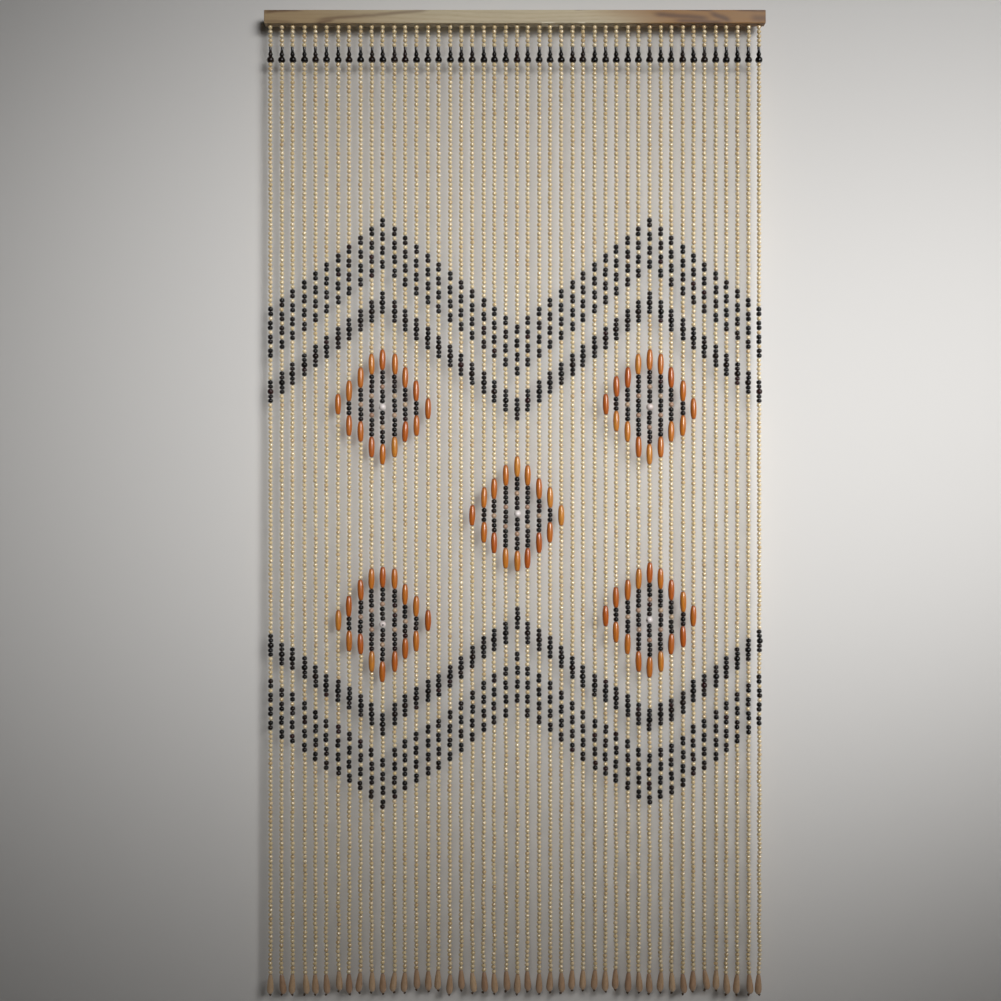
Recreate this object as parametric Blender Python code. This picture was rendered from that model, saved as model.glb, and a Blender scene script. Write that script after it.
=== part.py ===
"""Bead curtain on its head rail.

A squared wooden rail carries forty-five strands of turned wooden beads. Each strand runs through
five plain beads and a vase-shaped bead, then through dark bands that step down and up across the
curtain, with diamonds of barrel beads between them, and ends in a pear-shaped drop.

Metres, +Z up. The origin is the centre of the rail's back face, the one that lies against the
wall. The front looks along -Y, and the strands hang down below the middle of the rail's depth.
"""

import math
from collections import namedtuple

import bmesh
import bpy

# The rail
RAIL_LENGTH = 0.900
RAIL_DEPTH = 0.020
RAIL_HEIGHT = 0.024
RAIL_EDGE_RADIUS = 0.0012
RAIL_EDGE_STEPS = 2

# The groove under the rail, and the strip in it that holds the tops of the strings
GROOVE_WIDTH = 0.0036
GROOVE_DEPTH = 0.0032
GROOVE_END_MARGIN = 0.0050
FIT_GAP = 0.0003
STRIP_RECESS = 0.0004

# The strands
STRAND_COUNT = 45
STRAND_PITCH = 0.0200
STRAND_LENGTH = 1.7394
MIDDLE_STRAND = 22
PEAK_STRANDS = (10, 34)
DRILL_DRIFT = 0.0036
DRILL_WANDER = 0.0006
WANDER_RATE = 2.4
SWAY = 0.0008
SWAY_RATE = 1.7
SWAY_TURN = 3.0
KINK = 0.0010
KINK_RATE = 2.9
KINK_TURN = 120.0
STRAND_SIDE = 0.0072
SHOULDER = 0.0010

# How long each bead is along its string
BEAD_LENGTHS = {
    "natural": 0.0080,
    "dark": 0.0085,
    "collar": 0.0076,
    "big": 0.0104,
    "tan": 0.0092,
    "white": 0.0127,
    "barrel": 0.0370,
    "vase": 0.0272,
    "drop": 0.0345,
}

# Outlines of the beads that are wider or narrower than the plain run: a section for each place
# where the outline turns, at a share of the bead's length from its top
Section = namedtuple("Section", "share width")
OUTLINES = {
    "big": (
        Section(share=0.0, width=STRAND_SIDE),
        Section(share=0.5, width=0.0116),
        Section(share=1.0, width=STRAND_SIDE),
    ),
    "white": (
        Section(share=0.0, width=STRAND_SIDE),
        Section(share=0.5, width=0.0130),
        Section(share=1.0, width=STRAND_SIDE),
    ),
    "barrel": (
        Section(share=0.0, width=0.0066),
        Section(share=0.20, width=0.0103),
        Section(share=0.5, width=0.0117),
        Section(share=0.80, width=0.0103),
        Section(share=1.0, width=0.0066),
    ),
    "vase": (
        Section(share=0.0, width=0.0050),
        Section(share=0.32, width=0.0052),
        Section(share=0.46, width=0.0086),
        Section(share=0.60, width=0.0062),
        Section(share=0.81, width=0.0126),
        Section(share=1.0, width=0.0104),
    ),
    "drop": (
        Section(share=0.0, width=0.0062),
        Section(share=0.14, width=0.0074),
        Section(share=0.45, width=0.0105),
        Section(share=0.76, width=0.0129),
        Section(share=0.92, width=0.0116),
        Section(share=1.0, width=0.0072),
    ),
}

# The pattern, in plain beads above and between its bands
PLAIN_ABOVE_VASE = 5
PLAIN_TO_FIRST_BAND = 35
PLAIN_PER_STEP = 2
PLAIN_BETWEEN_BANDS = 5

# The strands of a diamond, by their distance from its middle strand: the beads in order, and how
# many plain beads lie above, between and below a pair of diamonds, or beside a lone one
DiamondRow = namedtuple("DiamondRow", "beads above between below lone")
BEAD_LETTERS = {"d": "dark", "t": "tan", "w": "white", "o": "barrel"}
DIAMOND_ROWS = (
    DiamondRow(beads="odddtdddwdddtdddo", above=8, between=23, below=8, lone=8),
    DiamondRow(beads="oddddtdddtddddo", above=7, between=25, below=8, lone=12),
    DiamondRow(beads="odddtdddo", above=8, between=32, below=9, lone=17),
    DiamondRow(beads="odddo", above=9, between=36, below=9, lone=21),
    DiamondRow(beads="o", above=10, between=44, below=11, lone=27),
)

# Plain beads between the bands of a strand that meets no diamond, by its distance from the peak
PLAIN_BY_DISTANCE = {5: 71, 6: 67, 7: 63, 8: 59, 9: 56, 10: 52}

# Where hand threading left a strand with more or fewer plain beads than the pattern has: above,
# between and below its diamonds, and in its tail
Miscount = namedtuple("Miscount", "above between below tail", defaults=(0, 0, 0, 0))
MISCOUNTS = {
    7: Miscount(below=-1),
    8: Miscount(between=-1),
    9: Miscount(below=-1),
    10: Miscount(below=-1),
    11: Miscount(below=-1),
    12: Miscount(below=-1),
    13: Miscount(below=-1, tail=-1),
    14: Miscount(above=1, between=-1),
    15: Miscount(tail=-1),
    17: Miscount(tail=-1),
    27: Miscount(tail=-1),
    28: Miscount(tail=-1),
    29: Miscount(tail=-1),
    30: Miscount(between=-1, below=1),
    31: Miscount(above=-1, between=-1, below=1, tail=-1),
    32: Miscount(between=-1),
    33: Miscount(below=-1),
    34: Miscount(between=-1, below=-1),
    35: Miscount(below=-1),
    36: Miscount(between=-1, below=1),
    37: Miscount(between=-1, below=1),
    38: Miscount(above=1, between=-2, below=1),
    39: Miscount(tail=-1),
    40: Miscount(tail=-1),
    43: Miscount(between=-1),
    44: Miscount(between=-1),
}

RAIL_COLOUR = (0.38, 0.30, 0.20, 1.0)
RAIL_ROUGHNESS = 0.55
BEAD_COLOUR = (0.62, 0.50, 0.33, 1.0)
BEAD_ROUGHNESS = 0.40

RAIL_UNDERSIDE = -RAIL_HEIGHT / 2
STRAND_Y = -RAIL_DEPTH / 2
STRIP_SIDE = GROOVE_WIDTH - 2 * FIT_GAP
STRAND_TOP = RAIL_UNDERSIDE - FIT_GAP


def clear_scene():
    """Remove every object, so that the script can run again in the same file."""
    for item in list(bpy.data.objects):
        bpy.data.objects.remove(item)


def make_material(name, colour, roughness):
    """Return a Principled material of one colour."""
    material = bpy.data.materials.new(name)
    material.use_nodes = True
    shader = material.node_tree.nodes["Principled BSDF"]
    shader.inputs["Base Color"].default_value = colour
    shader.inputs["Roughness"].default_value = roughness
    shader.inputs["Metallic"].default_value = 0.0
    return material


def add_object(name, mesh, material):
    """Link a mesh to the scene under the name of its node."""
    item = bpy.data.objects.new(name, mesh)
    mesh.materials.append(material)
    bpy.context.collection.objects.link(item)
    return item


def box_mesh(name, low, high):
    """Return a box between two corners, as a mesh with its faces pointing out."""
    shape = bmesh.new()
    bmesh.ops.create_cube(shape, size=1.0)
    for vertex in shape.verts:
        for axis in range(3):
            middle = (low[axis] + high[axis]) / 2
            vertex.co[axis] = middle + vertex.co[axis] * (high[axis] - low[axis])
    mesh = bpy.data.meshes.new(name)
    shape.to_mesh(mesh)
    shape.free()
    return mesh


def strand_x(index):
    """Return where a strand's hole is: evenly spaced, but for the drill's drift and wander."""
    place = (index - MIDDLE_STRAND) / MIDDLE_STRAND
    drift = DRILL_DRIFT * (1 - place * place)
    return (index - MIDDLE_STRAND) * STRAND_PITCH + drift + DRILL_WANDER * math.sin(WANDER_RATE * index)


def strand_sway(index, depth):
    """Return how far a strand hangs to one side at a depth below the rail."""
    share = depth / STRAND_LENGTH
    kink = KINK * share**2 * math.sin(KINK_RATE * index) * math.sin(KINK_TURN * share + index)
    return SWAY * share * math.sin(SWAY_RATE * index + SWAY_TURN * share) + kink


def peak_distance(index):
    """Return how many strands away the nearer peak of the zigzag is."""
    return min(abs(index - peak) for peak in PEAK_STRANDS)


def spell(letters):
    """Return the bead kinds that a row of letters stands for."""
    return [BEAD_LETTERS[letter] for letter in letters]


def pair_band():
    """Return the zigzag's wide band: four dark pairs with a plain bead between them."""
    pair = ["dark", "dark"]
    return (pair + ["natural"]) * 3 + pair


def centre_band():
    """Return the zigzag's narrow band: a big dark bead between collars."""
    return ["collar", "collar", "big", "collar", "collar"]


def middle_run(index):
    """Return the beads between a strand's upper and lower narrow bands."""
    more = MISCOUNTS.get(index, Miscount())
    from_peak = peak_distance(index)
    from_middle = abs(index - MIDDLE_STRAND)
    if from_middle < len(DIAMOND_ROWS):
        row = DIAMOND_ROWS[from_middle]
        side = ["natural"] * row.lone
        return side + spell(row.beads) + side
    if from_peak < len(DIAMOND_ROWS):
        row = DIAMOND_ROWS[from_peak]
        above = ["natural"] * (row.above + more.above)
        between = ["natural"] * (row.between + more.between)
        below = ["natural"] * (row.below + more.below)
        return above + spell(row.beads) + between + spell(row.beads) + below
    return ["natural"] * (PLAIN_BY_DISTANCE[from_peak] + more.between)


def strand_beads(index):
    """Return a strand's bead kinds from the rail down, its tail filled up to the full length."""
    beads = ["natural"] * PLAIN_ABOVE_VASE + ["vase"]
    beads += ["natural"] * (PLAIN_TO_FIRST_BAND + PLAIN_PER_STEP * peak_distance(index))
    beads += pair_band() + ["natural"] * PLAIN_BETWEEN_BANDS + centre_band()
    beads += middle_run(index)
    beads += centre_band() + ["natural"] * PLAIN_BETWEEN_BANDS + pair_band()
    threaded = sum(BEAD_LENGTHS[kind] for kind in beads)
    spare = STRAND_LENGTH - threaded - BEAD_LENGTHS["drop"]
    tail = round(spare / BEAD_LENGTHS["natural"]) + MISCOUNTS.get(index, Miscount()).tail
    return beads + ["natural"] * tail + ["drop"]


def strand_sections(index):
    """Return the (z, width) sections of a strand, from its root in the strip to its drop."""
    sections = [(STRAND_TOP, STRIP_SIDE), (STRAND_TOP - SHOULDER, STRAND_SIDE)]
    z = STRAND_TOP
    for kind in strand_beads(index):
        length = BEAD_LENGTHS[kind]
        outline = OUTLINES.get(kind, ())
        if kind == "vase":
            sections.append((z + SHOULDER, STRAND_SIDE))
        sections += [(z - section.share * length, section.width) for section in outline]
        z -= length
        if kind == "vase":
            sections.append((z - SHOULDER, STRAND_SIDE))
    return sections


def add_ring(shape, x, z, width, depth):
    """Add the four corners of a level rectangle, anticlockwise seen from above."""
    half_x = width / 2
    half_y = depth / 2
    corners = ((-half_x, -half_y), (half_x, -half_y), (half_x, half_y), (-half_x, half_y))
    return [shape.verts.new((x + dx, STRAND_Y + dy, z)) for dx, dy in corners]


def join_rings(shape, upper, lower):
    """Bridge two rings of four corners with four faces that look outwards."""
    for side in range(4):
        after = (side + 1) % 4
        shape.faces.new((upper[side], lower[side], lower[after], upper[after]))


def build_strands():
    """Return one closed mesh: the strip and the strands that hang from it."""
    shape = bmesh.new()
    strip_top = RAIL_UNDERSIDE + GROOVE_DEPTH - FIT_GAP
    strip_bottom = RAIL_UNDERSIDE + STRIP_RECESS
    half_root = STRIP_SIDE / 2
    strip_half = strip_half_length()

    # Corner columns along the strip: its two ends, and both sides of each strand's root
    stops = [-strip_half]
    for index in range(STRAND_COUNT):
        stops += [strand_x(index) - half_root, strand_x(index) + half_root]
    stops.append(strip_half)
    columns = []
    for x in stops:
        front = STRAND_Y - half_root
        back = STRAND_Y + half_root
        corners = ((front, strip_bottom), (back, strip_bottom), (back, strip_top), (front, strip_top))
        columns.append([shape.verts.new((x, y, z)) for y, z in corners])

    shape.faces.new(reversed(columns[0]))
    shape.faces.new(columns[-1])
    for number, (left, right) in enumerate(zip(columns, columns[1:])):
        shape.faces.new((left[1], left[2], right[2], right[1]))
        shape.faces.new((left[2], left[3], right[3], right[2]))
        shape.faces.new((left[3], left[0], right[0], right[3]))
        is_root = number % 2 == 1
        if is_root:
            add_strand(shape, number // 2, [left[0], right[0], right[1], left[1]])
        else:
            shape.faces.new((left[0], left[1], right[1], right[0]))

    bmesh.ops.recalc_face_normals(shape, faces=shape.faces)
    mesh = bpy.data.meshes.new("strands")
    shape.to_mesh(mesh)
    shape.free()
    return mesh


def add_strand(shape, index, root):
    """Hang one four-sided strand from the corners of its root."""
    upper = root
    for z, width in strand_sections(index):
        x = strand_x(index) + strand_sway(index, STRAND_TOP - z)
        lower = add_ring(shape, x, z, width, width)
        join_rings(shape, upper, lower)
        upper = lower
    shape.faces.new(reversed(upper))


def strip_half_length():
    """Return half the length of the strip, which ends a little past the outer strands."""
    return RAIL_LENGTH / 2 - GROOVE_END_MARGIN


def build_rail(material):
    """Make the rail: a bar with eased edges and a stopped groove along its underside."""
    half_length = RAIL_LENGTH / 2
    half_height = RAIL_HEIGHT / 2
    bar = box_mesh("rail", (-half_length, -RAIL_DEPTH, -half_height), (half_length, 0, half_height))
    rail = add_object("rail", bar, material)
    bevel = rail.modifiers.new("eased_edges", "BEVEL")
    bevel.width = RAIL_EDGE_RADIUS
    bevel.segments = RAIL_EDGE_STEPS
    bevel.limit_method = "ANGLE"

    reach = strip_half_length() + FIT_GAP
    half_groove = GROOVE_WIDTH / 2
    cutter_mesh = box_mesh(
        "groove",
        (-reach, STRAND_Y - half_groove, RAIL_UNDERSIDE - GROOVE_DEPTH),
        (reach, STRAND_Y + half_groove, RAIL_UNDERSIDE + GROOVE_DEPTH),
    )
    cutter = add_object("groove_cutter", cutter_mesh, material)
    cutter.hide_render = True
    cutter.display_type = "WIRE"
    groove = rail.modifiers.new("groove", "BOOLEAN")
    groove.operation = "DIFFERENCE"
    groove.solver = "EXACT"
    groove.object = cutter
    return rail


def main():
    """Build the rail and the strands that hang from it."""
    clear_scene()
    build_rail(make_material("rail_wood", RAIL_COLOUR, RAIL_ROUGHNESS))
    bead_wood = make_material("bead_wood", BEAD_COLOUR, BEAD_ROUGHNESS)
    add_object("strands", build_strands(), bead_wood)


main()
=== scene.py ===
"""Looks of the bead curtain: turned wooden beads threaded on forty-five cords below a pine rail.

Metres, +Z up. The origin is the centre of the rail's back face, the one that lies against the
wall. The front looks along -Y. The sizes repeat those of the curtain's solids, so each bead sits
on its own strand.
"""

import logging
import math
from collections.abc import Iterable, Sequence
from dataclasses import dataclass, field
from enum import Enum

import bpy
import numpy as np
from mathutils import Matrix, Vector


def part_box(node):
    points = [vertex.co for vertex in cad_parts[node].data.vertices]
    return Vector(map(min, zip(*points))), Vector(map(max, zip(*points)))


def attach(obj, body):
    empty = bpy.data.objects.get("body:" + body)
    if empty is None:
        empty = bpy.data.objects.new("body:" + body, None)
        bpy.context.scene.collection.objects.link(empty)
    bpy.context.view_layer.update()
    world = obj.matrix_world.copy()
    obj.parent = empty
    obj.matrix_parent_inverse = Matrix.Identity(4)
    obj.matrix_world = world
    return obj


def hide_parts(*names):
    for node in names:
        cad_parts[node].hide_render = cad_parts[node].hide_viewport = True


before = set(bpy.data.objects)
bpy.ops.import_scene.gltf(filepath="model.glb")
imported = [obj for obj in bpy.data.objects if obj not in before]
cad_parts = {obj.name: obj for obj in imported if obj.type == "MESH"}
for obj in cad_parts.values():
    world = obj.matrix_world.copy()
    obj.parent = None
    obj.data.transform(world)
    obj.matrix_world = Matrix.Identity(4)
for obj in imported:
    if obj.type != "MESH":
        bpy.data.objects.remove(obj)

LOG = logging.getLogger("bead_curtain")
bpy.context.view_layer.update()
MILLIMETRES = 1000.0
# How far apart the grain of two beads lies, in millimetres, for characters that are 1 apart.
GRAIN_STEP = (311.0, 173.0, 97.0)

Colour = tuple[float, float, float]
# A place where a lathe's outline turns: its share of the length from the top, and its width.
Turn = tuple[float, float]
Point = tuple[float, float, float]


class BeadKind(Enum):
    """The beads that a strand is threaded from."""

    NATURAL = "natural"
    DARK = "dark"
    COLLAR = "collar"
    BIG = "big"
    TAN = "tan"
    WHITE = "white"
    BARREL = "barrel"
    VASE = "vase"
    DROP = "drop"


class Slot(Enum):
    """The record's material slots."""

    RAIL_WOOD = "rail_wood"
    NATURAL_BEAD = "natural_bead"
    DARK_BEAD = "dark_bead"
    AMBER_BEAD = "amber_bead"
    TAN_BEAD = "tan_bead"
    WHITE_BEAD = "white_bead"
    STRING = "string"


class Noted(Enum):
    """What each point of a bead notes for its finish: see MeshStock."""

    PLACE = "place"
    CHARACTER = "character"


# Sizes and pattern


@dataclass(frozen=True)
class DiamondRow:
    """One strand of a diamond.

    The beads are letters, in order. The plain beads above, between and below them are counted for
    a pair of diamonds, and those on both sides of a lone diamond are in the last field.
    """

    beads: str
    above: int
    between: int
    below: int
    lone: int


@dataclass(frozen=True)
class Miscount:
    """Where hand threading left a strand with more or fewer plain beads than the pattern has.

    The counts are those above, between and below its diamonds, and those in its tail.
    """

    above: int = 0
    between: int = 0
    below: int = 0
    tail: int = 0


@dataclass(frozen=True)
class StrandPattern:
    """Where the strands hang, and which beads are threaded on each."""

    count: int = 45
    pitch: float = 0.0200
    length: float = 1.7394
    middle: int = 22
    peaks: tuple[int, int] = (10, 34)
    drill_drift: float = 0.0036
    drill_wander: float = 0.0006
    wander_rate: float = 2.4
    sway: float = 0.0008
    sway_rate: float = 1.7
    sway_turn: float = 3.0
    kink: float = 0.0010
    kink_rate: float = 2.9
    kink_turn: float = 120.0
    top: float = -0.0123
    y: float = -0.010
    above_vase: int = 5
    to_first_band: int = 35
    per_step: int = 2
    between_bands: int = 5
    lengths: dict[BeadKind, float] = field(
        default_factory=lambda: {
            BeadKind.NATURAL: 0.0080,
            BeadKind.DARK: 0.0085,
            BeadKind.COLLAR: 0.0076,
            BeadKind.BIG: 0.0104,
            BeadKind.TAN: 0.0092,
            BeadKind.WHITE: 0.0127,
            BeadKind.BARREL: 0.0370,
            BeadKind.VASE: 0.0272,
            BeadKind.DROP: 0.0345,
        }
    )
    letters: dict[str, BeadKind] = field(
        default_factory=lambda: {
            "d": BeadKind.DARK,
            "t": BeadKind.TAN,
            "w": BeadKind.WHITE,
            "o": BeadKind.BARREL,
        }
    )
    diamond: tuple[DiamondRow, ...] = (
        DiamondRow(beads="odddtdddwdddtdddo", above=8, between=23, below=8, lone=8),
        DiamondRow(beads="oddddtdddtddddo", above=7, between=25, below=8, lone=12),
        DiamondRow(beads="odddtdddo", above=8, between=32, below=9, lone=17),
        DiamondRow(beads="odddo", above=9, between=36, below=9, lone=21),
        DiamondRow(beads="o", above=10, between=44, below=11, lone=27),
    )
    plain_by_distance: dict[int, int] = field(
        default_factory=lambda: {5: 71, 6: 67, 7: 63, 8: 59, 9: 56, 10: 52}
    )
    miscounts: dict[int, Miscount] = field(
        default_factory=lambda: {
            7: Miscount(below=-1),
            8: Miscount(between=-1),
            9: Miscount(below=-1),
            10: Miscount(below=-1),
            11: Miscount(below=-1),
            12: Miscount(below=-1),
            13: Miscount(below=-1, tail=-1),
            14: Miscount(above=1, between=-1),
            15: Miscount(tail=-1),
            17: Miscount(tail=-1),
            27: Miscount(tail=-1),
            28: Miscount(tail=-1),
            29: Miscount(tail=-1),
            30: Miscount(between=-1, below=1),
            31: Miscount(above=-1, between=-1, below=1, tail=-1),
            32: Miscount(between=-1),
            33: Miscount(below=-1),
            34: Miscount(between=-1, below=-1),
            35: Miscount(below=-1),
            36: Miscount(between=-1, below=1),
            37: Miscount(between=-1, below=1),
            38: Miscount(above=1, between=-2, below=1),
            39: Miscount(tail=-1),
            40: Miscount(tail=-1),
            43: Miscount(between=-1),
            44: Miscount(between=-1),
        }
    )

    def x(self, strand: int, depth: float = 0.0) -> float:
        """Work out where a strand hangs along the rail.

        Args:
            strand: The strand's number, from the left.
            depth: How far below the strand's top.

        Returns:
            Its x, with the drill's drift and wander at the top and the cord's sway and kinks below.
        """
        place = (strand - self.middle) / self.middle
        drift = self.drill_drift * (1 - place * place)
        wander = self.drill_wander * math.sin(self.wander_rate * strand)
        share = depth / self.length
        sway = self.sway * share * math.sin(self.sway_rate * strand + self.sway_turn * share)
        bend = math.sin(self.kink_rate * strand) * math.sin(self.kink_turn * share + strand)
        kink = self.kink * share**2 * bend
        return (strand - self.middle) * self.pitch + drift + wander + sway + kink

    def peak_distance(self, strand: int) -> int:
        """Return how many strands away the nearer peak of the zigzag is."""
        return min(abs(strand - peak) for peak in self.peaks)

    def spell(self, letters: str) -> list[BeadKind]:
        """Return the beads that a row of letters stands for."""
        return [self.letters[letter] for letter in letters]

    def pair_band(self) -> list[BeadKind]:
        """Return the zigzag's wide band: four dark pairs with a plain bead between them."""
        pair = [BeadKind.DARK] * 2
        return (pair + [BeadKind.NATURAL]) * 3 + pair

    def centre_band(self) -> list[BeadKind]:
        """Return the zigzag's narrow band: a big dark bead between two pairs of collars."""
        collars = [BeadKind.COLLAR] * 2
        return collars + [BeadKind.BIG] + collars

    def middle_run(self, strand: int) -> list[BeadKind]:
        """Work out a strand's beads between its upper and its lower narrow band.

        Args:
            strand: The strand's number, from the left.

        Returns:
            The beads from the top down, with those of the diamonds that the strand crosses.
        """
        plain = [BeadKind.NATURAL]
        more = self.miscounts.get(strand, Miscount())
        from_middle = abs(strand - self.middle)
        if from_middle < len(self.diamond):
            row = self.diamond[from_middle]
            return plain * row.lone + self.spell(row.beads) + plain * row.lone
        from_peak = self.peak_distance(strand)
        if from_peak < len(self.diamond):
            row = self.diamond[from_peak]
            beads = self.spell(row.beads)
            above = plain * (row.above + more.above)
            between = plain * (row.between + more.between)
            below = plain * (row.below + more.below)
            return above + beads + between + beads + below
        return plain * (self.plain_by_distance[from_peak] + more.between)

    def beads(self, strand: int) -> list[BeadKind]:
        """Thread one strand.

        Args:
            strand: The strand's number, from the left.

        Returns:
            Its beads from the rail down, the tail filled up to the full length.
        """
        plain = BeadKind.NATURAL
        to_band = self.to_first_band + self.per_step * self.peak_distance(strand)
        beads = [plain] * self.above_vase + [BeadKind.VASE] + [plain] * to_band
        beads += self.pair_band() + [plain] * self.between_bands + self.centre_band()
        beads += self.middle_run(strand)
        beads += self.centre_band() + [plain] * self.between_bands + self.pair_band()
        threaded = sum(self.lengths[kind] for kind in beads)
        spare = self.length - threaded - self.lengths[BeadKind.DROP]
        tail = round(spare / self.lengths[plain]) + self.miscounts.get(strand, Miscount()).tail
        return beads + [plain] * tail + [BeadKind.DROP]


@dataclass(frozen=True)
class BeadPlace:
    """A threaded bead: its kind, its strand, and the x and z of its top and its bottom."""

    kind: BeadKind
    strand: int
    top: tuple[float, float]
    bottom: tuple[float, float]

    def middle(self) -> tuple[float, float]:
        """Return the x and z halfway along the bead's hole."""
        return (self.top[0] + self.bottom[0]) / 2, (self.top[1] + self.bottom[1]) / 2


def thread_all(pattern: StrandPattern) -> list[BeadPlace]:
    """Thread every strand.

    Args:
        pattern: The strands' places and beads.

    Returns:
        The place of each bead, strand by strand and from the top down.
    """
    places = []
    for strand in range(pattern.count):
        depth = 0.0
        for kind in pattern.beads(strand):
            below = depth + pattern.lengths[kind]
            top = (pattern.x(strand, depth), pattern.top - depth)
            bottom = (pattern.x(strand, below), pattern.top - below)
            places.append(BeadPlace(kind, strand, top, bottom))
            depth = below
    return places


# Shader maths


@dataclass(frozen=True)
class Value:
    """A number that changes over a surface, with Python's operators as Math nodes."""

    bench: "FinishBench"
    socket: bpy.types.NodeSocket

    def _math(self, operation: str, left: "Number", right: "Number" = 0.0) -> "Value":
        """Return the result of one Math node."""
        node = self.bench.node("ShaderNodeMath", {"operation": operation}, {0: left, 1: right})
        return Value(self.bench, node.outputs[0])

    def __add__(self, other: "Number") -> "Value":
        """Return self + other."""
        return self._math("ADD", self, other)

    def __radd__(self, other: "Number") -> "Value":
        """Return other + self."""
        return self._math("ADD", other, self)

    def __sub__(self, other: "Number") -> "Value":
        """Return self - other."""
        return self._math("SUBTRACT", self, other)

    def __rsub__(self, other: "Number") -> "Value":
        """Return other - self."""
        return self._math("SUBTRACT", other, self)

    def __mul__(self, other: "Number") -> "Value":
        """Return self * other."""
        return self._math("MULTIPLY", self, other)

    def __rmul__(self, other: "Number") -> "Value":
        """Return other * self."""
        return self._math("MULTIPLY", other, self)

    def __pow__(self, other: float) -> "Value":
        """Return self to the power of other."""
        return self._math("POWER", self, other)

    def __abs__(self) -> "Value":
        """Return self without its sign."""
        return self._math("ABSOLUTE", self)

    def sine(self) -> "Value":
        """Return the sine of self, in radians."""
        return self._math("SINE", self)

    def root(self) -> "Value":
        """Return the square root of self."""
        return self._math("SQRT", self)

    def rise(self, start: float, end: float) -> "Value":
        """Ease from 0 to 1.

        Args:
            start: Where the result is 0.
            end: Where the result is 1, which may be below start.

        Returns:
            A smooth step of self between both, flat outside them.
        """
        sockets = {"Value": self, "From Min": start, "From Max": end}
        node = self.bench.node("ShaderNodeMapRange", {"interpolation_type": "SMOOTHSTEP"}, sockets)
        return Value(self.bench, node.outputs["Result"])


Number = Value | float


@dataclass(frozen=True)
class Tone:
    """A colour at its place, 0 to 1, along a run of tones."""

    place: float
    colour: Colour


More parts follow.
